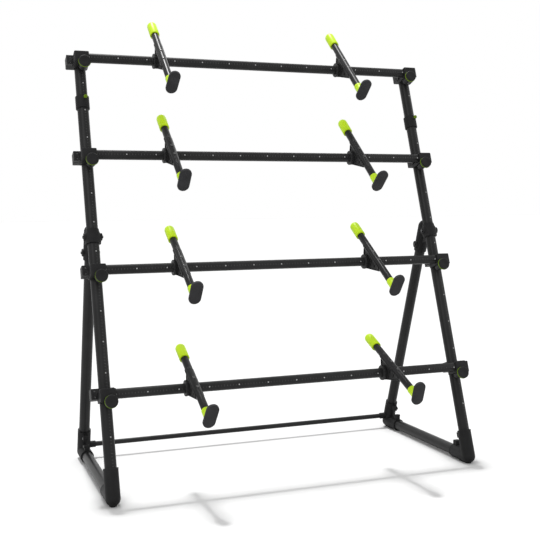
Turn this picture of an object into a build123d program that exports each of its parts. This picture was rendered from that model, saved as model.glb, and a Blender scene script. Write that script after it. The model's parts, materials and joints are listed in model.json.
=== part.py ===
from build123d import *
from math import cos, radians, sin, tan
import os

# Four-tier A-frame rack. Millimetres, +Z up, front towards -Y, the floor at Z = 0 and the
# origin on the floor under the middle of the whole rack.
# "Height" along an upright is the distance up its axis from where that axis meets the floor.

# ---- driving dimensions --------------------------------------------------------------------
upright_spacing = 1256.0
upright_lean = 18.7
upright_top = 1509.6
leg_lean = 20.6
foot_length = 606.6
foot_axis_height = 24.0
middle_depth = 228.45

tube_radius = 19.0
tube_wall = 2.0
bar_radius = 16.0
bar_wall = 1.5
brace_radius = 9.0
brace_wall = 1.2
brace_reach = 26.2
press_fit = 0.05
sliding_fit = 0.08

elbow_radius = 23.5
elbow_reach = 91.5
socket_floor = 30.0
lug_place = 78.0
lug_length = 20.0
lug_width = 16.0
lug_outer = 40.0
lug_inner = 8.0
lug_corner = 4.0
sole_width = 22.0
sole_length = 60.0
sole_middle = 20.0
sole_corner = 10.5
brace_boss_radius = 12.0
brace_boss_end = 42.0
brace_end_gap = 21.5

apex_low = 838.6
apex_split = 862.6
apex_rib = 1.0
apex_skirt = (25.5, 27.0, 26.5, 23.0, 21.0)
apex_skirt_rises = (0.0, 14.0, 26.0, 40.0, 50.0)
apex_boss_radius = 12.5
apex_boss_reach = 30.0
leg_socket_start = 42.0
leg_socket_end = 141.0
leg_tube_start = 63.0
leg_boss_place = 116.0
leg_boss_radius = 13.0
leg_boss_reach = 28.0
web_width = 20.0

screw_head_radius = 5.0
screw_head_height = 4.0
screw_radius = 3.0
screw_length = 8.6
screw_hole_depth = 9.0
clear_through = 200.0

tier_heights = (337.6, 737.6, 1134.6, 1489.6)
bar_front = 44.0
bar_overrun = 17.0

block_half_width = 25.0
block_low = -22.0
block_high = 16.0
block_back = 2.0
block_front = 66.0
block_corner = 5.0
block_top_edge = 2.5
saddle_outer = 45.0
saddle_inner = 28.0
saddle_low = -9.0
saddle_high = 25.0
saddle_corner = 4.0
stud_boss_radius = 14.0
stud_boss_start = 30.0
saddle_front = 14.0
saddle_back = 29.0
jaw_gap = 1.0
ear_screw_across = 34.0
ear_screw_heights = (17.5, -1.5)
ear_screw_radius = 3.0

knob_across = 7.0
knob_drop = 26.0
knob_gap = 0.3
knob_ring_radius = 21.3
knob_ring_depth = 4.5
knob_cap_radius = 20.5
knob_cap_depth = 8.2
knob_stud_radius = 4.0
knob_stud_tip = 20.0
knob_ring_edge = 0.8
knob_cap_edge = 1.5

collar_heights = {"left": 1341.6, "right": 1301.6}
collar_length = 46.0
collar_radius = 23.5
collar_edge = 2.0
collar_knob_turn = 14.0
collar_knob_rise = 12.0
collar_boss_radius = 7.5
collar_boss_reach = 27.0
collar_knob_radius = 6.5
collar_knob_depth = 8.5
collar_knob_edge = 1.5
collar_stud_radius = 2.5
collar_stud_tip = 19.8

arm_places = {"left": (-363.5, -364.5, -358.5, -361.0), "right": (334.0, 330.5, 337.5, 335.5)}
arm_slopes = {"left": (26.5, 32.3, 38.8, 41.5), "right": (23.3, 33.3, 39.2, 41.5)}
pad_turns = {"left": (8.0, 2.5, 1.7, 5.4), "right": (-1.7, 3.2, 8.4, 6.3)}
arm_radius = 12.5
arm_wall = 1.5
arm_rise = 46.0
arm_back = 164.0
arm_front = 195.0

sleeve_half_length = 18.0
sleeve_radius = 19.0
flange_radius = 26.0
flange_depth = 6.5
flange_edge = 1.0
hub_half_width = 11.2
hub_radius = 25.0
gusset_half_width = 9.0
gusset_back = -38.0
gusset_front = 103.0
gusset_nose = (14.0, -19.0)
gusset_tail = (-24.0, 4.0)
cradle_radius = 14.8
arm_screw_places = (22.0, 71.0)
arm_screw_radius = 2.5
arm_screw_head_radius = 4.5
arm_screw_head_height = 2.4
arm_screw_depth = 19.0

cap_radius = 17.0
cap_tip = 171.0
cap_length = 75.0
holder_start = 175.0
holder_radius = 14.3
holder_neck = 203.0
holder_flare = 16.5
holder_end_gap = 0.5
pad_start = 215.0
pad_depth = 12.0
pad_length = 84.0
pad_width = 40.0
pad_offset = 14.0
pad_edge = 3.0

# ---- directions and reference points -------------------------------------------------------
sides = {"left": -1, "right": 1}
lean = radians(upright_lean)
leg = radians(leg_lean)
across = Vector(1, 0, 0)
backward = Vector(0, 1, 0)
up_upright = Vector(0, sin(lean), cos(lean))
off_front = Vector(0, -cos(lean), sin(lean))
down_leg = Vector(0, sin(leg), -cos(leg))

front_corner = Vector(0, foot_axis_height * tan(lean) - middle_depth, foot_axis_height)
rear_corner = front_corner + backward * foot_length
corner_height = foot_axis_height / cos(lean)
# The uprights and legs meet at the apex: the foot and two angles make a triangle.
leg_to_apex = foot_length * cos(lean) / sin(lean + leg)
apex = rear_corner - down_leg * leg_to_apex


def upright_point(x, height, front=0.0):
    """A point level with an upright: its height up the axis and its distance in front of it."""
    foot = Vector(x, -middle_depth, 0)
    return foot + up_upright * height + off_front * front


def side_x(side, inward=0.0):
    """The X of a point near an upright, a distance inward towards the middle of the rack."""
    return sides[side] * (upright_spacing / 2 - inward)


def facing(origin, direction, x_dir=across):
    """A plane at a point whose normal runs along a direction."""
    return Plane(origin=origin, x_dir=x_dir, z_dir=direction)


def rod(plane, radius, length, mode=Mode.ADD):
    """Add or cut a round bar that starts on a plane."""
    with BuildSketch(plane) as outline:
        Circle(radius)
    extrude(outline.sketch, amount=length, mode=mode)


def save(piece, name):
    """Label a finished piece and write its STEP file."""
    piece.part.label = name
    export_step(piece.part, f"parts/{name}.step")


def tube(plane, radius, wall, length):
    """A round tube that starts on a plane."""
    with BuildPart() as made:
        with BuildSketch(plane):
            Circle(radius)
            Circle(radius - wall, mode=Mode.SUBTRACT)
        extrude(amount=length)
    return made


def mirrored(piece):
    """The same piece for the other side of the rack."""
    with BuildPart() as made:
        mirror(piece.part, about=Plane.YZ)
    return made


def save_pair(piece, name):
    """Save a left-hand piece and its mirror image on the right."""
    save(piece, f"{name}_left")
    save(mirrored(piece), f"{name}_right")


os.makedirs("parts", exist_ok=True)
left_x = side_x("left")
front_corner_left = front_corner + across * left_x
rear_corner_left = rear_corner + across * left_x
apex_left = apex + across * left_x

# ---- frame tubes ---------------------------------------------------------------------------
lower_start = corner_height + socket_floor
lower_upright = tube(
    facing(upright_point(left_x, lower_start), up_upright),
    tube_radius,
    tube_wall,
    apex_split - apex_rib - lower_start,
)
save_pair(lower_upright, "lower_upright")

upper_start = apex_split + apex_rib
upper_upright = tube(
    facing(upright_point(left_x, upper_start), up_upright),
    tube_radius,
    tube_wall,
    upright_top - upper_start,
)
save_pair(upper_upright, "upper_upright")

rear_leg = tube(
    facing(apex_left + down_leg * leg_tube_start, down_leg),
    tube_radius,
    tube_wall,
    leg_to_apex - leg_tube_start - socket_floor,
)
save_pair(rear_leg, "rear_leg")

foot_tube = tube(
    facing(front_corner_left + backward * socket_floor, backward),
    tube_radius,
    tube_wall,
    foot_length - 2 * socket_floor,
)
save_pair(foot_tube, "foot_tube")

brace_left = rear_corner_left - down_leg * brace_reach + across * brace_end_gap
rear_brace = tube(
    facing(brace_left, across, backward),
    brace_radius,
    brace_wall,
    upright_spacing - 2 * brace_end_gap,
)
save(rear_brace, "rear_brace")

# ---- elbows --------------------------------------------------------------------------------
screw_seats = []


def clamp_lug(corner, along, other):
    """A lug near the end of an elbow's sleeve, on the inside of the corner, with a screw hole."""
    inside = (other - along * along.dot(other)).normalized()
    middle = corner + along * lug_place + inside * (lug_outer + lug_inner) / 2
    with BuildSketch(facing(middle, across, along)) as outline:
        RectangleRounded(lug_length, lug_outer - lug_inner, lug_corner)
    extrude(outline.sketch, amount=lug_width / 2, both=True)
    seat = corner + along * lug_place + inside * (lug_outer - screw_head_radius) - across * lug_width / 2
    screw_seats.append((seat, across * -1))


def elbow(corner, rising, level):
    """A moulded corner: two sleeves at an angle, a flat sole and two clamping lugs."""
    with BuildPart() as made:
        for along in (rising, level):
            rod(facing(corner, along), elbow_radius, elbow_reach)
        with Locations(corner):
            Sphere(elbow_radius)
        middle = Vector(corner.X, corner.Y, 0) + level * sole_middle
        with BuildSketch(facing(middle, Vector(0, 0, 1))) as sole:
            RectangleRounded(sole_width, sole_length, sole_corner)
        extrude(sole.sketch, amount=foot_axis_height)
        clamp_lug(corner, rising, level)
        clamp_lug(corner, level, rising)
        for along in (rising, level):
            mouth = facing(corner + along * socket_floor, along)
            rod(mouth, tube_radius + press_fit, elbow_reach, Mode.SUBTRACT)
        for seat, outward in screw_seats[-2:]:
            rod(facing(seat, outward * -1, backward), screw_radius + press_fit, screw_hole_depth, Mode.SUBTRACT)
    return made


front_elbow = elbow(front_corner_left, up_upright, backward)
save_pair(front_elbow, "front_elbow")

plain_rear_elbow = elbow(rear_corner_left, down_leg * -1, backward * -1)
with BuildPart() as rear_elbow:
    add(plain_rear_elbow.part)
    brace_axis = rear_corner_left - down_leg * brace_reach
    boss_start = tube_radius + 2
    rod(
        facing(brace_axis + across * boss_start, across, backward),
        brace_boss_radius,
        brace_boss_end - boss_start,
    )
    rod(
        facing(brace_left, across, backward),
        brace_radius + press_fit,
        brace_boss_end,
        Mode.SUBTRACT,
    )
save_pair(rear_elbow, "rear_elbow")

# ---- apex fittings -------------------------------------------------------------------------
collar_foot = upright_point(left_x, apex_low)
leg_boss_middle = apex_left + down_leg * leg_boss_place
collar_boss_middle = upright_point(left_x, apex_split)
apex_length = apex_skirt_rises[-1]
skirt = list(zip(apex_skirt, apex_skirt_rises))
with BuildPart() as apex_fitting:
    # A bell-shaped collar round the upright, narrow at the top.
    with BuildSketch(facing(collar_foot, off_front)):
        with BuildLine():
            Polyline((0, 0), *skirt[:2])
            ThreePointArc(*skirt[1:4])
            Polyline(*skirt[3:], (0, apex_length), (0, 0))
        make_face()
    revolve(axis=Axis(collar_foot, up_upright))
    # Bosses for the cross screws of the collar and of the leg socket.
    for middle, radius, reach in (
        (collar_boss_middle, apex_boss_radius, apex_boss_reach),
        (leg_boss_middle, leg_boss_radius, leg_boss_reach),
    ):
        rod(facing(middle - across * reach, across, backward), radius, 2 * reach)
        for outward in (across, across * -1):
            screw_seats.append((middle + outward * reach, outward))
    # The socket for the rear leg, joined to the collar by a web.
    socket_top = apex_left + down_leg * leg_socket_start
    rod(facing(socket_top, down_leg), elbow_radius, leg_socket_end - leg_socket_start)
    with Locations(socket_top):
        Sphere(elbow_radius)
    with BuildSketch(Plane(origin=(left_x, 0, 0), x_dir=(0, 1, 0), z_dir=(1, 0, 0))):
        web_corners = (
            upright_point(left_x, apex_low + 2),
            upright_point(left_x, apex_low + apex_length - 6),
            apex_left + down_leg * leg_tube_start,
            apex_left + down_leg * (leg_socket_end - 12),
        )
        with BuildLine():
            Polyline(*[(corner.Y, corner.Z) for corner in web_corners], close=True)
        make_face()
    extrude(amount=web_width / 2, both=True)
    # Bores for the two uprights, with a rib between their ends, and for the leg.
    rod(
        facing(upright_point(left_x, apex_split - apex_rib), up_upright * -1),
        tube_radius + press_fit,
        clear_through,
        Mode.SUBTRACT,
    )
    rod(
        facing(upright_point(left_x, apex_split + apex_rib), up_upright),
        tube_radius + press_fit,
        clear_through,
        Mode.SUBTRACT,
    )
    rod(
        facing(apex_left + down_leg * leg_tube_start, down_leg),
        tube_radius + press_fit,
        clear_through,
        Mode.SUBTRACT,
    )
    for seat, outward in screw_seats[-4:]:
        rod(facing(seat, outward * -1, backward), screw_radius + press_fit, screw_hole_depth, Mode.SUBTRACT)
save_pair(apex_fitting, "apex_fitting")

# ---- frame screws, one group of identical cap screws ---------------------------------------
with BuildPart() as frame_screws:
    for seat, outward in screw_seats:
        rod(facing(seat, outward, backward), screw_head_radius, screw_head_height)
        rod(facing(seat, outward * -1, backward), screw_radius, screw_length)
    mirror(about=Plane.YZ)
save(frame_screws, "frame_screws")


# ---- height collars, each with a green locking knob ----------------------------------------
def collar_knob_direction(side):
    """The way a height collar's knob points: forward, turned a little towards +X."""
    return off_front * cos(radians(collar_knob_turn)) + across * sin(radians(collar_knob_turn))


for side in sides:
    middle = upright_point(side_x(side), collar_heights[side])
    outward = collar_knob_direction(side)
    boss = middle + up_upright * collar_knob_rise
    with BuildPart() as height_collar:
        rod(facing(middle - up_upright * collar_length / 2, up_upright), collar_radius, collar_length)
        fillet(height_collar.edges().filter_by(GeomType.CIRCLE), collar_edge)
        rod(facing(boss, outward), collar_boss_radius, collar_boss_reach)
        rod(
            facing(middle - up_upright * collar_length, up_upright),
            tube_radius + sliding_fit,
            2 * collar_length,
            Mode.SUBTRACT,
        )
        rod(facing(boss, outward), collar_stud_radius + press_fit, clear_through, Mode.SUBTRACT)
    save(height_collar, f"height_collar_{side}")

    with BuildPart() as collar_knob:
        rod(
            facing(boss + outward * (collar_boss_reach + knob_gap), outward),
            collar_knob_radius,
            collar_knob_depth,
        )
        fillet(collar_knob.faces().sort_by(Axis(boss, outward))[-1].edges(), collar_knob_edge)
        rod(
            facing(boss + outward * collar_stud_tip, outward),
            collar_stud_radius,
            collar_boss_reach - collar_stud_tip + 1,
        )
    save(collar_knob, f"collar_knob_{side}")


# ---- tiers: crossbar, cross clamps and clamp knobs -----------------------------------------
def block(height, low, high, x_low, x_high, front_low, front_high, mode=Mode.ADD):
    """A box square to the left upright: its heights, X offsets and distances in front."""
    middle = (front_low + front_high) / 2
    base = upright_point(left_x + (x_low + x_high) / 2, height + low, middle)
    with BuildSketch(facing(base, up_upright)) as outline:
        Rectangle(x_high - x_low, front_high - front_low)
    extrude(outline.sketch, amount=high - low, mode=mode)


def cross_clamps(height):
    """The two clamps of a crossbar: a block round the bar and a jaw behind each upright."""
    with BuildPart() as made:
        block(
            height,
            block_low,
            block_high,
            -block_half_width,
            block_half_width,
            block_back,
            block_front,
        )
        upright_edges = made.edges().filter_by(Axis((0, 0, 0), up_upright))
        front_edges = upright_edges.sort_by(Axis((0, 0, 0), off_front))[-2:]
        fillet(front_edges, block_corner)
        fillet(made.faces().sort_by(Axis((0, 0, 0), up_upright))[-1].edges(), block_top_edge)
        block(height, saddle_low, saddle_high, -saddle_outer, saddle_inner, 0, saddle_front)
        # A round boss for the knob's stud, in front of the upright.
        stud = upright_point(left_x + knob_across, height - knob_drop)
        boss_depth = block_front - stud_boss_start
        rod(facing(stud + off_front * stud_boss_start, off_front), stud_boss_radius, boss_depth)
        # The crossbar's blind bore, open on the inner side.
        bar_end = upright_point(left_x - bar_overrun, height, bar_front)
        rod(facing(bar_end, across, backward), bar_radius + press_fit, clear_through, Mode.SUBTRACT)
        # The threaded hole of the knob's stud.
        rod(facing(stud, off_front), knob_stud_radius + press_fit, clear_through, Mode.SUBTRACT)
        # The rear jaw, with its outer corners rounded to follow the upright.
        with BuildSketch(facing(upright_point(left_x, height + saddle_low), up_upright)) as jaw:
            with Locations(((saddle_inner - saddle_outer) / 2, (saddle_back + jaw_gap) / 2)):
                RectangleRounded(saddle_outer + saddle_inner, saddle_back - jaw_gap, saddle_corner)
        extrude(jaw.sketch, amount=saddle_high - saddle_low)
        # The upright's bore through both, and the screw holes through the outer ears.
        bore = facing(upright_point(left_x, height - clear_through / 2), up_upright)
        rod(bore, tube_radius + sliding_fit, clear_through, Mode.SUBTRACT)
        for rise in ear_screw_heights:
            ear = upright_point(left_x - ear_screw_across, height + rise, saddle_front)
            rod(facing(ear, off_front * -1), ear_screw_radius, clear_through, Mode.SUBTRACT)
        mirror(about=Plane.YZ)
    return made


def clamp_knob(side, height):
    """A round knob: a cap with a stud, and a separate grip ring behind the cap."""
    seat = upright_point(side_x(side, knob_across), height - knob_drop)
    back = block_front + knob_gap
    with BuildPart() as made:
        rod(facing(seat + off_front * back, off_front), knob_ring_radius, knob_ring_depth)
        fillet(made.edges(), knob_ring_edge)
        rod(facing(seat, off_front), knob_stud_radius, clear_through, Mode.SUBTRACT)
        ring = made.part
    with BuildPart() as cap:
        rod(
            facing(seat + off_front * (back + knob_ring_depth), off_front),
            knob_cap_radius,
            knob_cap_depth,
        )
        fillet(cap.faces().sort_by(Axis(seat, off_front))[-1].edges(), knob_cap_edge)
        rod(
            facing(seat + off_front * knob_stud_tip, off_front),
            knob_stud_radius,
            back + knob_ring_depth - knob_stud_tip,
        )
        add(ring)
    return cap


for number, height in enumerate(tier_heights, start=1):
    bar_start = upright_point(left_x - bar_overrun, height, bar_front)
    crossbar = tube(
        facing(bar_start, across, backward),
        bar_radius,
        bar_wall,
        upright_spacing + 2 * bar_overrun,
    )
    save(crossbar, f"crossbar_{number}")
    save(cross_clamps(height), f"crossbar_clamps_{number}")
    for side in sides:
        save(clamp_knob(side, height), f"clamp_knob_{number}_{side}")


# ---- support arms --------------------------------------------------------------------------
def arm_sleeve(bar_point):
    """A flanged sleeve on the crossbar, and the ring nut on its other end."""
    left_end = bar_point - across * sleeve_half_length
    nut_start = bar_point + across * (sleeve_half_length - flange_depth)
    with BuildPart() as nut:
        rod(facing(nut_start, across, backward), flange_radius, flange_depth)
        fillet(nut.edges(), flange_edge)
        rod(
            facing(left_end, across, backward),
            sleeve_radius + press_fit,
            3 * sleeve_half_length,
            Mode.SUBTRACT,
        )
    with BuildPart() as made:
        rod(facing(left_end, across, backward), flange_radius, flange_depth)
        fillet(made.edges(), flange_edge)
        rod(facing(left_end, across, backward), sleeve_radius, 2 * sleeve_half_length)
        rod(
            facing(left_end, across, backward),
            bar_radius + sliding_fit,
            3 * sleeve_half_length,
            Mode.SUBTRACT,
        )
        add(nut.part)
    return made


def support_arm(bar_point, along, rise):
    """Gusset bracket, arm tube, its two screws and its domed rear cap."""
    arm_axis = bar_point + rise * arm_rise
    side_on = Plane(origin=bar_point, x_dir=along, z_dir=across * -1)
    with BuildPart() as bracket:
        rod(facing(bar_point - across * hub_half_width, across, backward), hub_radius, 2 * hub_half_width)
        with BuildSketch(side_on):
            with BuildLine():
                Polyline(
                    gusset_tail,
                    (gusset_back, arm_rise - cradle_radius),
                    (gusset_back, arm_rise),
                    (gusset_front, arm_rise),
                    (gusset_front, arm_rise - cradle_radius),
                    gusset_nose,
                    close=True,
                )
            make_face()
        extrude(amount=gusset_half_width, both=True)
        rod(facing(arm_axis + along * gusset_back, along), cradle_radius, gusset_front - gusset_back)
        rod(facing(arm_axis - along * arm_back, along), arm_radius + press_fit, arm_back + arm_front, Mode.SUBTRACT)
        # The cradle is open above the tube's axis.
        with BuildSketch(Plane(origin=arm_axis, x_dir=along, z_dir=rise)) as opening:
            Rectangle(2 * (arm_back + arm_front), 4 * cradle_radius)
        extrude(opening.sketch, amount=2 * cradle_radius, mode=Mode.SUBTRACT)
        rod(
            facing(bar_point - across * 2 * hub_half_width, across, backward),
            sleeve_radius + sliding_fit,
            4 * hub_half_width,
            Mode.SUBTRACT,
        )
        for place in arm_screw_places:
            top = arm_axis + along * place + rise * arm_radius
            hole_depth = arm_screw_depth + 2 * arm_screw_radius
            rod(facing(top, rise * -1, along), arm_screw_radius, hole_depth, Mode.SUBTRACT)
    with BuildPart() as arm_tube:
        with BuildSketch(facing(arm_axis - along * arm_back, along)):
            Circle(arm_radius)
            Circle(arm_radius - arm_wall, mode=Mode.SUBTRACT)
        extrude(amount=arm_back + arm_front)
        for place in arm_screw_places:
            top = arm_axis + along * place + rise * 2 * arm_radius
            rod(facing(top, rise * -1, along), arm_screw_radius + press_fit, 4 * arm_radius, Mode.SUBTRACT)
    with BuildPart() as cap:
        rod(
            facing(arm_axis - along * (cap_tip - cap_radius), along),
            cap_radius,
            cap_length - cap_radius,
        )
        with Locations(arm_axis - along * (cap_tip - cap_radius)):
            Sphere(cap_radius)
        rod(facing(arm_axis - along * arm_back, along), arm_radius + press_fit, arm_back, Mode.SUBTRACT)
    with BuildPart() as made:
        for place in arm_screw_places:
            seat = arm_axis + along * place + rise * (arm_radius + press_fit)
            rod(facing(seat, rise, along), arm_screw_head_radius, arm_screw_head_height)
            rod(
                facing(seat, rise * -1, along),
                arm_screw_radius - press_fit,
                arm_screw_depth,
            )
        add(bracket.part)
        add(arm_tube.part)
        add(cap.part)
    return made


def arm_pad(bar_point, along, rise, turn):
    """The collar on the arm's front end, and the stop pad on it."""
    arm_axis = bar_point + rise * arm_rise
    with BuildPart() as holder:
        with BuildSketch(Plane(origin=arm_axis, x_dir=rise, z_dir=across)):
            with BuildLine():
                Polyline(
                    (0, holder_start),
                    (holder_radius - 1, holder_start),
                    (holder_radius, holder_start + 1),
                    (holder_radius, holder_neck),
                    (holder_flare, pad_start),
                    (0, pad_start),
                    close=True,
                )
            make_face()
        revolve(axis=Axis(arm_axis, along))
        rod(
            facing(arm_axis, along),
            arm_radius + sliding_fit,
            arm_front + holder_end_gap,
            Mode.SUBTRACT,
        )
    tilt = radians(turn)
    upward = rise * cos(tilt) + across * sin(tilt)
    with BuildPart() as made:
        with BuildSketch(Plane(origin=arm_axis + along * pad_start, x_dir=upward, z_dir=along)):
            with Locations((pad_offset, 0)):
                SlotOverall(pad_length, pad_width)
        extrude(amount=pad_depth)
        fillet(made.faces().filter_by(Plane(origin=arm_axis, z_dir=along)).edges(), pad_edge)
        add(holder.part)
    return made


for side in sides:
    for number, height in enumerate(tier_heights, start=1):
        slope = radians(arm_slopes[side][number - 1])
        along = Vector(0, -cos(slope), -sin(slope))
        rise = Vector(0, -sin(slope), cos(slope))
        bar_point = upright_point(arm_places[side][number - 1], height, bar_front)
        turn = pad_turns[side][number - 1]
        save(arm_sleeve(bar_point), f"arm_clamp_{number}_{side}")
        save(support_arm(bar_point, along, rise), f"support_arm_{number}_{side}")
        save(arm_pad(bar_point, along, rise, turn), f"arm_pad_{number}_{side}")
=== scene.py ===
import json
from math import atan2, cos, pi, radians, sin

import bmesh
import bpy
from mathutils import Matrix, Vector


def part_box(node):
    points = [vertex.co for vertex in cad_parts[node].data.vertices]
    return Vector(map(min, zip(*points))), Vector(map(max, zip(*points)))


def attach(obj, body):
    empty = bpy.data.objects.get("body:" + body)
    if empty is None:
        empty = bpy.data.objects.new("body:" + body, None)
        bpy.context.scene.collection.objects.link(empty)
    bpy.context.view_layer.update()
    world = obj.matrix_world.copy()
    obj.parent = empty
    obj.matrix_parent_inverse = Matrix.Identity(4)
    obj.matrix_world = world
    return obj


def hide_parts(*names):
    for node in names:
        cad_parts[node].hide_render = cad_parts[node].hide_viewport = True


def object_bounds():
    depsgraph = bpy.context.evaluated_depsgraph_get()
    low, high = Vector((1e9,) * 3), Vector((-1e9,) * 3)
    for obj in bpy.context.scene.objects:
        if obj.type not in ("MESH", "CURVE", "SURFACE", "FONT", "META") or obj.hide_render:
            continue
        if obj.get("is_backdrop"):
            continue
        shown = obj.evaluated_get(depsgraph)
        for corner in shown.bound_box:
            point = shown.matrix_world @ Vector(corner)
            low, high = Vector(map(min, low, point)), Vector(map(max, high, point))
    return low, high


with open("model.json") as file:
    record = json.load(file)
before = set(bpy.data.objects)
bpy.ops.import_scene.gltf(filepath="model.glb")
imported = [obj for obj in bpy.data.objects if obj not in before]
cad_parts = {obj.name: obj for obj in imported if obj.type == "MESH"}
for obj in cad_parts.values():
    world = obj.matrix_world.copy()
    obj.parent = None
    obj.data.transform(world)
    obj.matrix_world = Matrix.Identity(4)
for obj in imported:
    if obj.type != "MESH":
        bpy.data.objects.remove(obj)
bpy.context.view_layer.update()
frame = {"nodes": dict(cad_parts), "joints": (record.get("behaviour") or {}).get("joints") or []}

# Looks for the four-tier A-frame rack. Shapes are drawn in millimetres in a local frame of
# their own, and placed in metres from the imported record's joints and boxes.

joints = {joint["name"]: joint for joint in frame["joints"]}
tiers = (1, 2, 3, 4)
sides = {"left": -1, "right": 1}
mm = 0.001
across = Vector((1, 0, 0))
back = Vector((0, 1, 0))
up = Vector((0, 0, 1))

# Main dimensions that the pieces share with the CAD, in millimetres.
upright_radius = 19.0
bar_radius = 16.0
arm_radius = 12.5
arm_rise = 46.0
arm_back, arm_front = -164.0, 195.0
sleeve_radius, sleeve_half = 19.0, 18.0
flange_radius, flange_inner = 26.0, 11.5
hub_radius, hub_half = 25.0, 11.2
cradle_back, cradle_front, cradle_outer = -38, 103, 14.8
arm_screw_places = (22.0, 71.0)
cap_radius, cap_dome_start, cap_tip = 17, -154, -171
pad_length, pad_width, pad_shift, pad_plate_start = 84, 40, 14, 216
elbow_reach, elbow_radius = 91.5, 23.5
ear_screw_across = 34.0
ear_screw_heights = (17.5, -1.5)
knob_to_axis = {"drop": 26.0, "inward": 7.0, "front": 66.0}

# Printed scales: a dot's place along an upright from the level of crossbar 1, and across a bar.
upright_dot = -228.3
bar_dot = -604
dot_spacing, tick_spacing = 100, 10
print_rise = 0.02


def joint_place(name):
    return Vector(joints[name]["pos_m"])


def joint_axis(name):
    return Vector(joints[name]["axis"]).normalized()


up_upright = joint_axis("tier_1_height")
off_front = joint_axis("clamp_knob_1_left_turn")


def local_frame(origin, x_axis, z_axis):
    """A matrix from local millimetres to the row frame in metres."""
    z = z_axis.normalized()
    x = (x_axis - z * x_axis.dot(z)).normalized()
    y = z.cross(x)
    turn = Matrix((x, y, z)).transposed().to_4x4()
    return Matrix.Translation(origin) @ turn @ Matrix.Scale(mm, 4)


# ---- materials -----------------------------------------------------------------------------
def node(tree, kind, **values):
    made = tree.nodes.new(kind)
    for name, value in values.items():
        if name in made.inputs:
            made.inputs[name].default_value = value
        else:
            setattr(made, name, value)
    return made


def surface(name, dark, light, rough, grain, grain_depth, streak=(1, 1, 1), metallic=0.0,
            cloud=9.0, wear=None, sheen=0.0, shine=0.13):
    """A procedural finish: two mottled colours, uneven roughness, grain bump and worn edges."""
    made = bpy.data.materials.new(name)
    made.use_nodes = True
    tree = made.node_tree
    link = tree.links.new
    shader = tree.nodes["Principled BSDF"]
    shader.inputs["Metallic"].default_value = metallic
    shader.inputs["Sheen Weight"].default_value = sheen
    shader.inputs["Specular IOR Level"].default_value = shine
    place = node(tree, "ShaderNodeTexCoord")
    stretch = node(tree, "ShaderNodeMapping", Scale=streak)
    link(place.outputs["Object"], stretch.inputs["Vector"])
    clouds = node(tree, "ShaderNodeTexNoise", Scale=cloud, Detail=5.0, Roughness=0.6)
    link(stretch.outputs["Vector"], clouds.inputs["Vector"])
    mottle = node(tree, "ShaderNodeMix", data_type="RGBA")
    mottle.inputs["A"].default_value = (*dark, 1)
    mottle.inputs["B"].default_value = (*light, 1)
    spread = node(tree, "ShaderNodeMapRange")
    spread.inputs["From Min"].default_value = 0.32
    spread.inputs["From Max"].default_value = 0.68
    link(clouds.outputs["Fac"], spread.inputs["Value"])
    link(spread.outputs["Result"], mottle.inputs["Factor"])
    colour = mottle.outputs["Result"]
    fine = node(tree, "ShaderNodeTexNoise", Scale=grain, Detail=3.0, Roughness=0.55)
    link(place.outputs["Object"], fine.inputs["Vector"])
    if wear:
        edges = node(tree, "ShaderNodeNewGeometry")
        worn = node(tree, "ShaderNodeMapRange")
        worn.inputs["From Min"].default_value = 0.52
        worn.inputs["From Max"].default_value = 0.62
        link(edges.outputs["Pointiness"], worn.inputs["Value"])
        broken = node(tree, "ShaderNodeMath", operation="MULTIPLY")
        link(worn.outputs["Result"], broken.inputs[0])
        link(clouds.outputs["Fac"], broken.inputs[1])
        rubbed = node(tree, "ShaderNodeMix", data_type="RGBA")
        rubbed.inputs["B"].default_value = (*wear, 1)
        link(broken.outputs["Value"], rubbed.inputs["Factor"])
        link(colour, rubbed.inputs["A"])
        colour = rubbed.outputs["Result"]
    link(colour, shader.inputs["Base Color"])
    uneven = node(tree, "ShaderNodeMapRange")
    uneven.inputs["To Min"].default_value = rough - 0.07
    uneven.inputs["To Max"].default_value = rough + 0.09
    mixed = node(tree, "ShaderNodeMath", operation="MULTIPLY_ADD")
    mixed.inputs[1].default_value = 0.35
    link(fine.outputs["Fac"], mixed.inputs[0])
    link(clouds.outputs["Fac"], mixed.inputs[2])
    link(mixed.outputs["Value"], uneven.inputs["Value"])
    link(uneven.outputs["Result"], shader.inputs["Roughness"])
    bump = node(tree, "ShaderNodeBump", Strength=0.6, Distance=grain_depth)
    link(fine.outputs["Fac"], bump.inputs["Height"])
    link(bump.outputs["Normal"], shader.inputs["Normal"])
    return made


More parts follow.
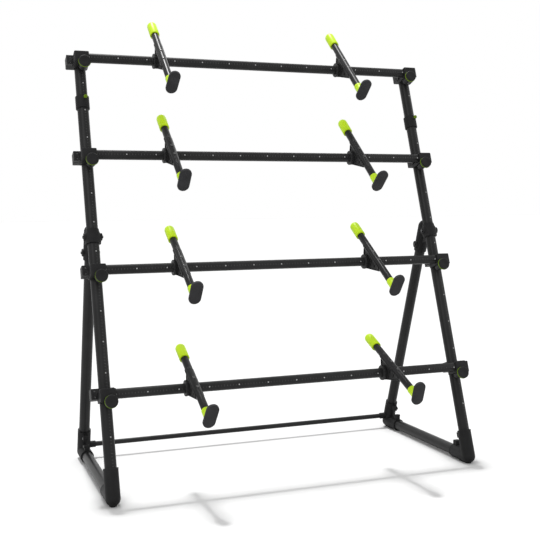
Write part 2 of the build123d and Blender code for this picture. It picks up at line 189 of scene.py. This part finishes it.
finishes = {
    "tube": surface("satin_black_tube", (0.0035, 0.0035, 0.0038), (0.006, 0.006, 0.0065), 0.32,
                    1400, 0.00003, wear=(0.02, 0.02, 0.02), shine=0.16),
    "plastic": surface("moulded_plastic", (0.007, 0.007, 0.0072), (0.012, 0.012, 0.0125), 0.5,
                       2200, 0.00008, cloud=14.0, wear=(0.035, 0.035, 0.035)),
    "clamp": surface("clamp_plastic", (0.009, 0.009, 0.0092), (0.015, 0.015, 0.0155), 0.46,
                     1900, 0.00007, cloud=18.0, wear=(0.05, 0.05, 0.05)),
    "green": surface("lime_plastic", (0.36, 0.55, 0.001), (0.45, 0.64, 0.003), 0.36,
                     1500, 0.00003, cloud=22.0, wear=(0.55, 0.74, 0.03), shine=0.25),
    # A darker copy of the lime plastic is painted shade: the knob grip rings and collar knob heads
    # are coloured as if they sat in shade.
    "green_in_painted_shade": surface("lime_plastic_in_painted_shade", (0.07, 0.12, 0.001), (0.10, 0.16, 0.002), 0.5,
                         1500, 0.00003, cloud=22.0, wear=(0.16, 0.28, 0.015)),
    "rubber": surface("pad_rubber", (0.017, 0.017, 0.018), (0.027, 0.027, 0.029), 0.72,
                      2600, 0.00012, cloud=26.0, sheen=0.05),
    "steel": surface("blackened_steel", (0.05, 0.05, 0.05), (0.11, 0.11, 0.11), 0.34,
                     3000, 0.00002, streak=(1, 1, 14), metallic=0.9, cloud=60.0,
                     wear=(0.3, 0.3, 0.3), shine=0.5),
    "print": surface("scale_print", (0.22, 0.22, 0.22), (0.38, 0.38, 0.38), 0.5,
                     2400, 0.00001, cloud=300.0),
    "dim_print": surface("faint_scale_print", (0.035, 0.035, 0.035), (0.11, 0.11, 0.11), 0.5,
                         2400, 0.00001, cloud=220.0),
}


# ---- mesh tools ----------------------------------------------------------------------------
def lathe(mesh, profile, segments=64, ripple=None):
    """Turns (radius, height) points round local Z. A ripple changes the radius with the angle."""
    rings = []
    for radius, height in profile:
        ring = []
        for step in range(segments):
            angle = 2 * pi * step / segments
            reach = radius if ripple is None else ripple(radius, height, angle)
            ring.append(mesh.verts.new((reach * cos(angle), reach * sin(angle), height)))
            if radius == 0:
                break
        rings.append(ring)
    for low, high in zip(rings, rings[1:]):
        for step in range(segments):
            after = (step + 1) % segments
            if len(low) == 1:
                corners = (low[0], high[step], high[after])
            elif len(high) == 1:
                corners = (low[step], high[0], low[after])
            else:
                corners = (low[step], high[step], high[after], low[after])
            mesh.faces.new(corners)


def closed(profile):
    """The same profile, ending where it started, for a ring."""
    return [*profile, profile[0]]


def prism(mesh, outline, low, high):
    """A closed outline in local X and Y, as a solid between two heights."""
    rings = [[mesh.verts.new((x, y, height)) for x, y in outline] for height in (low, high)]
    count = len(outline)
    mesh.faces.new(reversed(rings[0]))
    mesh.faces.new(rings[1])
    for index in range(count):
        after = (index + 1) % count
        mesh.faces.new((rings[0][index], rings[0][after], rings[1][after], rings[1][index]))


def soften(mesh, width, steps=3, angle=32):
    """Rounds the sharp edges of everything drawn so far."""
    bmesh.ops.recalc_face_normals(mesh, faces=mesh.faces)
    sharp = [edge for edge in mesh.edges
             if len(edge.link_faces) == 2 and edge.calc_face_angle() > radians(angle)]
    bmesh.ops.bevel(mesh, geom=sharp, offset=width, segments=steps, profile=0.6,
                    affect="EDGES", clamp_overlap=True)


def piece(name, mesh, place, finish, body, smooth=34):
    """Makes the drawn mesh a piece with one finish, which rides on a body."""
    bmesh.ops.recalc_face_normals(mesh, faces=mesh.faces)
    data = bpy.data.meshes.new(name)
    mesh.transform(place)
    mesh.to_mesh(data)
    mesh.free()
    data.materials.append(finishes[finish])
    data.shade_smooth()
    data.set_sharp_from_angle(angle=radians(smooth))
    made = bpy.data.objects.new(name, data)
    bpy.context.scene.collection.objects.link(made)
    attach(made, body)
    return made


# ---- CAD nodes that keep their shape -------------------------------------------------------
def keep_node(name, finish, rounding=0.0):
    """Gives a CAD node its finish, and rounds its sharp edges if asked."""
    kept = frame["nodes"][name]
    kept.data.materials.clear()
    kept.data.materials.append(finishes[finish])
    weld = kept.modifiers.new("weld", "WELD")
    weld.merge_threshold = 0.00001
    if rounding:
        flatten = kept.modifiers.new("flatten", "DECIMATE")
        flatten.decimate_type = "DISSOLVE"
        flatten.angle_limit = radians(0.6)
        edges = kept.modifiers.new("edges", "BEVEL")
        edges.width = rounding * mm
        edges.segments = 3
        edges.limit_method = "ANGLE"
        edges.angle_limit = radians(32)
        edges.harden_normals = False


for side in sides:
    for tube_name in ("lower_upright", "upper_upright", "rear_leg", "foot_tube"):
        keep_node(f"{tube_name}_{side}", "tube")
    for fitting in ("front_elbow", "rear_elbow", "apex_fitting"):
        keep_node(f"{fitting}_{side}", "plastic", 1.2)
    keep_node(f"height_collar_{side}", "plastic", 0.6)
keep_node("rear_brace", "tube")
keep_node("frame_screws", "steel", 0.5)
for number in tiers:
    keep_node(f"crossbar_{number}", "tube")
    keep_node(f"crossbar_clamps_{number}", "clamp", 1.2)


# ---- clamp knobs ---------------------------------------------------------------------------
def clamp_knob(number, side):
    """A domed cap over a green grip ring, on a threaded stud."""
    joint = f"clamp_knob_{number}_{side}_turn"
    body = f"clamp_knob_{number}_{side}"
    place = local_frame(joint_place(joint), across, joint_axis(joint))
    knurls, knurl_depth = 36, 0.45
    ring_height = 4.7

    def knurl(radius, height, angle):
        return radius - knurl_depth * (0.5 + 0.5 * cos(knurls * angle)) if radius > 19 else radius

    ring = bmesh.new()
    lathe(ring, closed([(4.6, 0.3), (20.5, 0.3), (21.3, 1.1), (21.3, 3.3), (20.7, 4.0),
                        (19.5, ring_height), (4.6, ring_height)]), 144, ripple=knurl)
    # The grip ring takes the darker copy of the lime plastic, which is painted shade.
    shown = piece(f"knob_ring_{number}_{side}", ring, place, "green_in_painted_shade", body, 50)

    cap = bmesh.new()
    profile = [(0, 12.2), (6.0, 12.2), (7.0, 12.5), (15.2, 12.8), (16.7, 12.9), (18.4, 12.6),
               (19.7, 11.6), (20.4, 10.0), (20.5, 8.4), (20.5, 6.2), (20.2, 4.9), (4.2, 4.8),
               (0, 4.8)]
    lathe(cap, profile, 96)
    piece(f"knob_cap_{number}_{side}", cap, place, "plastic", body, 40)

    stud = bmesh.new()
    stud_end, crest, root, pitch = -45.9, 3.9, 3.4, 1.2
    thread = [(0, stud_end), (3.0, stud_end)]
    height = -45.1
    while height < 3.0:
        thread += [(crest, height), (root, height + 0.6)]
        height += pitch
    thread += [(crest, 4.6), (0, 4.6)]
    lathe(stud, thread, 32)
    piece(f"knob_stud_{number}_{side}", stud, place, "steel", body, 60)
    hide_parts(f"clamp_knob_{number}_{side}")


# ---- height collar knobs -------------------------------------------------------------------
def collar_knob(side):
    """A small lobed head on a plain stud."""
    joint = f"collar_knob_{side}_turn"
    body = f"collar_knob_{side}"
    place = local_frame(joint_place(joint), across, joint_axis(joint))

    def lobes(radius, height, angle):
        return radius - 0.7 * (0.5 + 0.5 * cos(10 * angle)) if radius > 5 else radius

    head = bmesh.new()
    lathe(head, [(0, 0.3), (5.6, 0.3), (6.5, 1.2), (6.5, 7.2), (5.9, 8.3), (4.4, 8.8), (3.8, 8.3),
                 (0, 8.1)], 80, ripple=lobes)
    # The head takes the darker copy of the lime plastic, which is painted shade.
    shown = piece(f"collar_knob_head_{side}", head, place, "green_in_painted_shade", body, 45)
    stud = bmesh.new()
    lathe(stud, [(0, -6.8), (2.4, -6.8), (2.4, 0.3), (0, 0.3)], 24)
    piece(f"collar_knob_stud_{side}", stud, place, "steel", body)
    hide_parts(f"collar_knob_{side}")


# ---- arms ----------------------------------------------------------------------------------
def sleeve_frame(number, side):
    """Local Z along the bar, local X upwards; the origin on the bar's axis."""
    return local_frame(joint_place(f"arm_{number}_{side}_slope"), up, across)


def arm_frame(number, side, height=0.0):
    """Local Z down the arm towards its front end, local X upwards; the origin over the bar."""
    along = joint_axis(f"pad_{number}_{side}_turn")
    rise = along.cross(across)
    origin = joint_place(f"arm_{number}_{side}_slope") + rise * height * mm
    return local_frame(origin, rise, along)


def arm_sleeve(number, side):
    """A flanged sleeve on the bar and the ribbed ring nut on its end."""
    body = f"arm_clamp_{number}_{side}"
    place = sleeve_frame(number, side)
    fit, chamfer = 0.08, 0.9
    edge = flange_radius - chamfer
    inner, outer = flange_inner + chamfer, sleeve_half - chamfer

    def grip(radius, height, angle):
        return radius - 1.2 * max(0.0, cos(14 * angle)) ** 2 if radius > 22 else radius

    sleeve = bmesh.new()
    bore = bar_radius + fit
    lathe(sleeve, closed([(bore, -sleeve_half), (edge, -sleeve_half), (flange_radius, -outer),
                          (flange_radius, -inner), (edge, -flange_inner),
                          (sleeve_radius, -flange_inner), (sleeve_radius, sleeve_half - 0.8),
                          (sleeve_radius - 0.8, sleeve_half), (bore, sleeve_half)]),
          72, ripple=grip)
    shown = piece(f"clamp_sleeve_{number}_{side}", sleeve, place, "clamp", body)
    nut = bmesh.new()
    thread = sleeve_radius + fit
    lathe(nut, closed([(thread, flange_inner), (edge, flange_inner), (flange_radius, inner),
                       (flange_radius, outer), (edge, sleeve_half), (thread, sleeve_half)]),
          140, ripple=grip)
    piece(f"clamp_ring_nut_{number}_{side}", nut, place, "clamp", body)
    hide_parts(body)


def support_arm(number, side):
    """The arm tube with its green cap, screws, marks and bracket."""
    body = f"support_arm_{number}_{side}"
    place = arm_frame(number, side, arm_rise)
    tube = bmesh.new()
    lathe(tube, closed([(11, -163.5), (11.5, arm_back), (12.1, arm_back), (arm_radius, -163.6),
                        (arm_radius, 194.6), (12.1, arm_front), (11.5, arm_front), (11, 194.5)]),
          56)
    shown = piece(f"arm_tube_{number}_{side}", tube, place, "tube", body)
    cap = bmesh.new()
    dome = [(cap_radius * cos(radians(tilt)), cap_dome_start - cap_radius * sin(radians(tilt)))
            for tilt in range(90, -1, -10)]
    dome[0] = (0, cap_tip)
    lathe(cap, [*dome, (cap_radius, -97.2), (16.6, -96.2), (15.9, -96), (12.56, -96),
                (12.56, -164.1), (0, -164.4)], 56)
    piece(f"arm_cap_{number}_{side}", cap, place, "green", body)
    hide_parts(body)
    arm_screws(number, side, body)
    arm_marks(number, side, body)
    arm_bracket(number, side, body)


def arm_screws(number, side, body):
    """Two pan-head cross screws through the tube into the cradle."""
    heads = bmesh.new()
    base = arm_frame(number, side, arm_rise)
    for along in arm_screw_places:
        head = bmesh.new()
        lathe(head, [(0, -19), (2.3, -18.8), (2.4, 0.02), (4.5, 0.05), (4.5, 1.0), (3.9, 1.9),
                     (2.6, 2.4), (1.9, 2.4), (1.5, 1.1), (0, 1.0)], 32)
        head.transform(Matrix.Translation((arm_radius + 0.06, 0, along))
                       @ Matrix.Rotation(pi / 2, 4, "Y"))
        copy = bpy.data.meshes.new("screw")
        head.to_mesh(copy)
        head.free()
        heads.from_mesh(copy)
        bpy.data.meshes.remove(copy)
    piece(f"arm_screws_{number}_{side}", heads, base, "steel", body)


def band(mesh, radius, low, high, from_angle, to_angle, steps=6):
    """A printed patch on a round tube about local Z."""
    angles = [from_angle + (to_angle - from_angle) * step / steps for step in range(steps + 1)]
    rows = [[mesh.verts.new((radius * cos(angle), radius * sin(angle), height))
             for angle in angles] for height in (low, high)]
    for step in range(steps):
        mesh.faces.new((rows[0][step], rows[0][step + 1], rows[1][step + 1], rows[1][step]))


def arm_marks(number, side, body):
    """Two faint printed lines over the top of the tube, where the bracket starts."""
    marks = bmesh.new()
    for along in (-34.5, -29.5):
        band(marks, arm_radius + 0.05, along, along + 1.6, radians(-40), radians(40), 14)
    piece(f"arm_marks_{number}_{side}", marks, arm_frame(number, side, arm_rise), "dim_print",
          body)


def strut(mesh, first, last, thick, half):
    """A straight wall of even thickness between two points of the side view."""
    first, last = Vector(first), Vector(last)
    inward = Vector((first.y - last.y, last.x - first.x)).normalized() * thick
    prism(mesh, [point.to_tuple() for point in (first, last, last + inward, first + inward)],
          -half, half)


def arm_bracket(number, side, body):
    """Hub, gusset with edge flanges and ribs round thinner webs, and the tube's cradle."""
    solid = bmesh.new()
    bore, chamfer = sleeve_radius + 0.1, 1.2
    edge, wall = hub_radius - chamfer, hub_half - chamfer
    lathe(solid, closed([(bore, -hub_half), (edge, -hub_half), (hub_radius, -wall),
                         (hub_radius, wall), (edge, hub_half), (bore, hub_half)]), 72)
    piece(f"bracket_hub_{number}_{side}", solid, sleeve_frame(number, side), "plastic", body)
    along = joint_axis(f"pad_{number}_{side}_turn")
    side_on = local_frame(joint_place(f"arm_{number}_{side}_slope"), along, across * -1)
    web = bmesh.new()
    hub_arc = [(21 * cos(radians(turn)), 21 * sin(radians(turn))) for turn in range(-50, 166, 12)]
    prism(web, [*hub_arc, (-36.5, 32), (-36.5, 34), (102, 34), (102, 32)], -6, 6)
    gusset = bmesh.new()
    flange_thick, flange_half, rib_thick, rib_half = 3, 9, 2.4, 8.4
    strut(gusset, (14.5, -19), (cradle_front, 31.4), flange_thick, flange_half)
    strut(gusset, (cradle_back, 31.4), (-23.6, 4), flange_thick, flange_half)
    for place, foot in ((32, 2), (60, 18)):
        strut(gusset, (place + rib_thick, 33), (place + rib_thick, foot), -rib_thick, rib_half)
    soften(gusset, 0.8)
    piece(f"bracket_web_{number}_{side}", web, side_on, "plastic", body)
    piece(f"bracket_gusset_{number}_{side}", gusset, side_on, "plastic", body)
    cradle = bmesh.new()
    lathe_half(cradle, arm_radius + 0.08, cradle_outer, cradle_back, cradle_front)
    soften(cradle, 0.6, 2)
    piece(f"bracket_cradle_{number}_{side}", cradle, arm_frame(number, side, arm_rise),
          "plastic", body)


def lathe_half(mesh, inner, outer, low, high, steps=28):
    """A half pipe about local Z, open towards local +X."""
    rings = []
    for height in (low, high):
        for radius in (inner, outer):
            rings.append([mesh.verts.new((radius * cos(pi / 2 + pi * step / steps),
                                          radius * sin(pi / 2 + pi * step / steps), height))
                          for step in range(steps + 1)])
    low_in, low_out, high_in, high_out = rings
    for step in range(steps):
        mesh.faces.new((low_in[step], low_in[step + 1], high_in[step + 1], high_in[step]))
        mesh.faces.new((low_out[step], high_out[step], high_out[step + 1], low_out[step + 1]))
        mesh.faces.new((low_in[step], low_out[step], low_out[step + 1], low_in[step + 1]))
        mesh.faces.new((high_in[step], high_in[step + 1], high_out[step + 1], high_out[step]))
    for end in (0, steps):
        mesh.faces.new((low_in[end], high_in[end], high_out[end], low_out[end]))


# ---- pads ----------------------------------------------------------------------------------
def pad_turn(number, side):
    """How far the pad's long side leans from the arm's plane, read from its CAD solid."""
    tip_points = 12
    solid = frame["nodes"][f"arm_pad_{number}_{side}"].data
    inverse = arm_frame(number, side, arm_rise).inverted()
    points = [inverse @ vertex.co for vertex in solid.vertices]
    plate = [point for point in points if point.z > pad_plate_start]
    tips = sorted(plate, key=lambda point: point.x ** 2 + point.y ** 2)[-tip_points:]
    middle = sum(tips, Vector()) / len(tips)
    return atan2(middle.y, middle.x)


def stadium(length, width, steps=20):
    """A slot outline with its long side along local X."""
    reach = (length - width) / 2
    half = width / 2
    points = []
    for step in range(steps + 1):
        angle = -pi / 2 + pi * step / steps
        points.append((reach + half * cos(angle), half * sin(angle)))
    for step in range(steps + 1):
        angle = pi / 2 + pi * step / steps
        points.append((-reach + half * cos(angle), half * sin(angle)))
    return points


def layered(mesh, layers):
    """Joins stadium outlines (length, width, height) into one closed, crowned body."""
    rings = []
    for length, width, height in layers:
        rings.append([mesh.verts.new((x, y, height)) for x, y in stadium(length, width)])
    count = len(rings[0])
    for low, high in zip(rings, rings[1:]):
        for index in range(count):
            after = (index + 1) % count
            mesh.faces.new((low[index], low[after], high[after], high[index]))
    mesh.faces.new(reversed(rings[0]))
    mesh.faces.new(rings[-1])


def arm_pad(number, side):
    """A green holder on the tube's front end and the crowned rubber plate on it."""
    body = f"arm_pad_{number}_{side}"
    place = arm_frame(number, side, arm_rise)
    holder = bmesh.new()
    lathe(holder, closed([(12.6, 175), (13.4, 175), (14.3, 175.9), (14.3, 184), (13.8, 184.5),
                          (13.8, 185.5), (14.3, 186), (14.3, 203), (16.5, 214.6),
                          (12.6, 214.9)]), 56)
    shown = piece(f"pad_holder_{number}_{side}", holder, place, "green", body)
    turned = (place @ Matrix.Rotation(pad_turn(number, side), 4, "Z")
              @ Matrix.Translation((pad_shift, 0, 0)))
    pad = bmesh.new()
    # How far each layer is drawn in from the pad's full outline, and its place along the arm.
    crown = [(10, 215.0), (5, 215.2), (1.5, 216.2), (0.2, 218.0), (0, 220.5), (0.6, 221.0),
             (0.6, 221.6), (0, 222.1), (0.4, 224.2), (1.8, 225.7), (4.4, 226.5), (10, 226.9),
             (20, 227.0)]
    layered(pad, [(pad_length - inset, pad_width - inset, height) for inset, height in crown])
    piece(f"pad_rubber_{number}_{side}", pad, turned, "rubber", body, 50)
    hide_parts(body)


for side in sides:
    collar_knob(side)
for number in tiers:
    for side in sides:
        clamp_knob(number, side)
        arm_sleeve(number, side)
        support_arm(number, side)
        arm_pad(number, side)


# ---- small hardware ------------------------------------------------------------------------
def upright_axis_point(side, number):
    """The point of an upright's axis level with a crossbar."""
    knob = joint_place(f"clamp_knob_{number}_{side}_turn")
    shift = (across * sides[side] * knob_to_axis["inward"] + up_upright * knob_to_axis["drop"]
             - off_front * knob_to_axis["front"])
    return knob + shift * mm


# The tubes' ends are cut square, so an upright's box is taller than its axis by this at each end.
square_end = upright_radius * mm * off_front.z / up_upright.z


def ear_screws(number, side):
    """Two socket screws sunk in the outer ear of a cross clamp."""
    body = f"tier_{number}"
    for order, rise in enumerate(ear_screw_heights):
        shift = across * sides[side] * ear_screw_across + up_upright * rise
        at = upright_axis_point(side, number) + shift * mm
        screw = bmesh.new()
        lathe(screw, [(0, 9.2), (1.5, 9.2), (1.6, 11.4), (2.5, 11.6), (2.93, 11.0), (2.93, -28.4),
                      (0, -28.4)], 32)
        piece(f"ear_screw_{number}_{side}_{order}", screw, local_frame(at, across, off_front),
              "steel", body)


def rim(name, place, radius):
    """A low bead round the mouth of a sleeve; local Z points out of the mouth."""
    bead = bmesh.new()
    lathe(bead, closed([(radius - 0.3, -5), (radius + 0.5, -4.4), (radius + 0.7, -3.4),
                        (radius + 0.7, -1.4), (radius + 0.2, -0.5), (radius - 0.6, -0.4)]), 72)
    piece(name, bead, place, "plastic", "frame", 50)


for side in sides:
    first = upright_axis_point(side, 1)
    low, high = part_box(f"foot_tube_{side}")
    foot = (low + high) / 2
    front_corner = first - up_upright * ((first.z - foot.z) / up_upright.z)
    for rim_name, along in (("up", up_upright), ("back", back)):
        mouth = front_corner + along * (elbow_reach * mm)
        rim(f"elbow_rim_front_{rim_name}_{side}", local_frame(mouth, across, along), elbow_radius)
    low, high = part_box(f"upper_upright_{side}")
    plug = bmesh.new()
    lathe(plug, [(0, -0.6), (15.0, -0.8), (16.4, -1.6), (16.9, -2.6), (16.9, -12), (0, -12)], 56)
    top = first + up_upright * ((high.z - first.z) / up_upright.z - square_end)
    piece(f"upright_plug_{side}", plug, local_frame(top, across, up_upright), "plastic", "frame")
    for number in tiers:
        ear_screws(number, side)


# ---- printed scales ------------------------------------------------------------------------
def scale_marks(name, place, radius, length, first_hundred, turn, body):
    """Ticks each 10 mm, longer at each 50 mm, and a dot each 100 mm, along local Z."""
    ticks = bmesh.new()
    dots = bmesh.new()
    shell = radius + print_rise
    dot_half, tick_half, tick_reach, long_reach = 2.0, 0.5, 2.2, 3.4
    height = first_hundred % tick_spacing
    while height < length - dot_half:
        to_hundred = round(height - first_hundred) % dot_spacing
        if to_hundred == 0:
            target, half, reach = dots, dot_half, dot_half
        else:
            reach = long_reach if to_hundred == dot_spacing / 2 else tick_reach
            target, half = ticks, tick_half
        band(target, shell, height - half, height + half, turn - reach / radius,
             turn + reach / radius)
        height += tick_spacing
    piece(f"{name}_ticks", ticks, place, "dim_print", body)
    piece(f"{name}_dots", dots, place, "print", body)


for side in sides:
    first = upright_axis_point(side, 1)
    for part_name in ("lower_upright", "upper_upright"):
        low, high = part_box(f"{part_name}_{side}")
        middle = (low + high) / 2
        span = up_upright * ((high.z - low.z) / up_upright.z) / 2
        half = span.length - square_end
        start = middle - up_upright * half
        base = (start - first).dot(up_upright) / mm
        scale_marks(f"{part_name}_scale_{side}", local_frame(start, off_front, up_upright),
                    upright_radius, 2 * half / mm, (upright_dot - base) % dot_spacing, radians(14),
                    "frame")
for number in tiers:
    low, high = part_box(f"crossbar_{number}")
    middle = (low + high) / 2
    start = Vector((low.x, middle.y, middle.z))
    scale_marks(f"crossbar_scale_{number}", local_frame(start, off_front, across), bar_radius,
                (high.x - low.x) / mm, (bar_dot - low.x / mm) % dot_spacing, radians(12),
                f"tier_{number}")


# ---- floor, light and camera ---------------------------------------------------------------
def plain(name, colour, rough):
    """An even finish, for the floor."""
    made = bpy.data.materials.new(name)
    made.use_nodes = True
    shader = made.node_tree.nodes["Principled BSDF"]
    shader.inputs["Base Color"].default_value = (*colour, 1)
    shader.inputs["Roughness"].default_value = rough
    return made


floor_width, floor_drop = 600, 0.0005
bpy.ops.mesh.primitive_plane_add(size=floor_width, location=(0, 0, -floor_drop))
floor = bpy.context.object
floor.name = "floor"
floor.data.materials.append(plain("pale_floor", (0.52, 0.52, 0.52), 0.9))
floor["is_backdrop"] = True

world = bpy.data.worlds.new("studio")
bpy.context.scene.world = world
world.use_nodes = True
background = world.node_tree.nodes["Background"]
background.inputs["Color"].default_value = (1, 1, 1, 1)
background.inputs["Strength"].default_value = 1.0


def softbox(name, place, target, size, power):
    """A rectangular lamp that faces a point."""
    data = bpy.data.lights.new(name, "AREA")
    data.shape = "RECTANGLE"
    data.size, data.size_y = size
    data.energy = power
    lamp = bpy.data.objects.new(name, data)
    lamp.location = place
    lamp.rotation_euler = (Vector(target) - Vector(place)).to_track_quat("-Z", "Y").to_euler()
    bpy.context.scene.collection.objects.link(lamp)


sun_data = bpy.data.lights.new("overhead", "SUN")
sun_data.energy = 3.3
sun_data.angle = radians(5)
sun = bpy.data.objects.new("overhead", sun_data)
# The sun shines along the uprights, so that their shadows fall close to the feet.
sun.rotation_euler = (-up_upright).to_track_quat("-Z", "Y").to_euler()
bpy.context.scene.collection.objects.link(sun)
softbox("key", (-2.6, -2.4, 3.4), (0, 0, 0.7), (2.4, 2.4), 34)
softbox("fill", (3.0, -2.2, 2.2), (0, 0, 0.7), (2.0, 2.0), 14)
softbox("rim", (0.5, 3.0, 3.0), (0, 0, 0.8), (3.0, 1.6), 18)

# The camera's place, heading, dip and roll, in the row frame, solved from the printed scales.
camera_place = (-1.0865, -2.90002, 0.8726)
heading, dip, roll = radians(20.044), radians(3.350), radians(-0.738)
forward = Vector((sin(heading) * cos(dip), cos(heading) * cos(dip), -sin(dip)))
level_right = Vector((cos(heading), -sin(heading), 0))
level_up = level_right.cross(forward)
right = level_right * cos(roll) + level_up * sin(roll)
camera_up = level_up * cos(roll) - level_right * sin(roll)
camera_data = bpy.data.cameras.new("camera")
camera_data.sensor_width = 36
camera_data.lens = 59.457
camera = bpy.data.objects.new("camera", camera_data)
camera.matrix_world = Matrix.Translation(camera_place) @ Matrix(
    (right, camera_up, -forward)).transposed().to_4x4()
bpy.context.scene.collection.objects.link(camera)
bpy.context.scene.camera = camera
bpy.context.scene.view_settings.view_transform = "Standard"

low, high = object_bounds()
